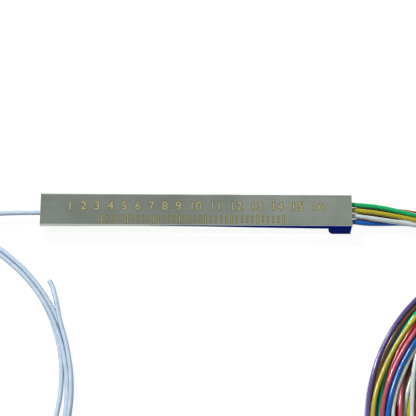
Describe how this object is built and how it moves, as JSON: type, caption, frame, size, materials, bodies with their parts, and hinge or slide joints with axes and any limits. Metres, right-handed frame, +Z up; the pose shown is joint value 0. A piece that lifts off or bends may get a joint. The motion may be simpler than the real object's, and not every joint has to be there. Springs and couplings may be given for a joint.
{
  "type": "planar lightwave fibre splitter",
  "caption": "Slim flat steel tube housing a planar fibre splitter, with a white input lead and a bundle of coloured output leads, each wound in a loose coil.",
  "frame": {"origin": "centre of the steel tube's lower face, on the surface that the tube and its coils lie on", "axes": "+X along the tube towards the output leads, +Y across its width, away from the coils, +Z up"},
  "size_m": [0.1249, 0.0607, 0.0046],
  "materials": {
    "stainless_steel": "lengthwise fine brushed stainless steel",
    "black_rubber": "moulded black rubber",
    "silica_chip": "polished silica on a pale substrate",
    "optical_glass": "ground and polished glass",
    "clear_adhesive": "cured clear adhesive",
    "soft_silicone": "soft translucent white silicone",
    "clear_coating": "uncoloured fibre coating",
    "natural_jacket": "natural white polyester elastomer tube",
    "green_jacket": "green polyester elastomer tube",
    "yellow_jacket": "yellow polyester elastomer tube",
    "white_jacket": "white polyester elastomer tube",
    "blue_jacket": "blue polyester elastomer tube",
    "red_jacket": "red polyester elastomer tube",
    "violet_jacket": "violet polyester elastomer tube",
    "brown_jacket": "brown polyester elastomer tube",
    "pink_jacket": "pink polyester elastomer tube"
  },
  "bodies": {
    "root": {"steel_tube": "stainless_steel", "input_plug": "black_rubber", "output_plug": "black_rubber", "plc_chip": "silica_chip", "chip_input_lid": "optical_glass", "chip_output_lid": "optical_glass", "input_block": "optical_glass", "input_block_lid": "optical_glass", "input_glue_bead": "clear_adhesive", "input_pad": "soft_silicone", "output_block": "optical_glass", "output_block_lid": "optical_glass", "output_glue_bead": "clear_adhesive", "output_pad": "soft_silicone", "input_fibre": "clear_coating", "green_fibre": "green_jacket", "yellow_fibre": "yellow_jacket", "white_fibre": "white_jacket", "blue_fibre": "blue_jacket", "red_fibre": "red_jacket", "violet_fibre": "violet_jacket", "brown_fibre": "brown_jacket", "pink_fibre": "pink_jacket", "input_lead": "natural_jacket", "input_coil": "natural_jacket", "green_lead": "green_jacket", "yellow_lead": "yellow_jacket", "white_lead": "white_jacket", "blue_lead": "blue_jacket", "red_lead": "red_jacket", "violet_lead": "violet_jacket", "brown_lead": "brown_jacket", "pink_lead": "pink_jacket", "output_coil": "violet_jacket"}
  },
  "joints": []
}
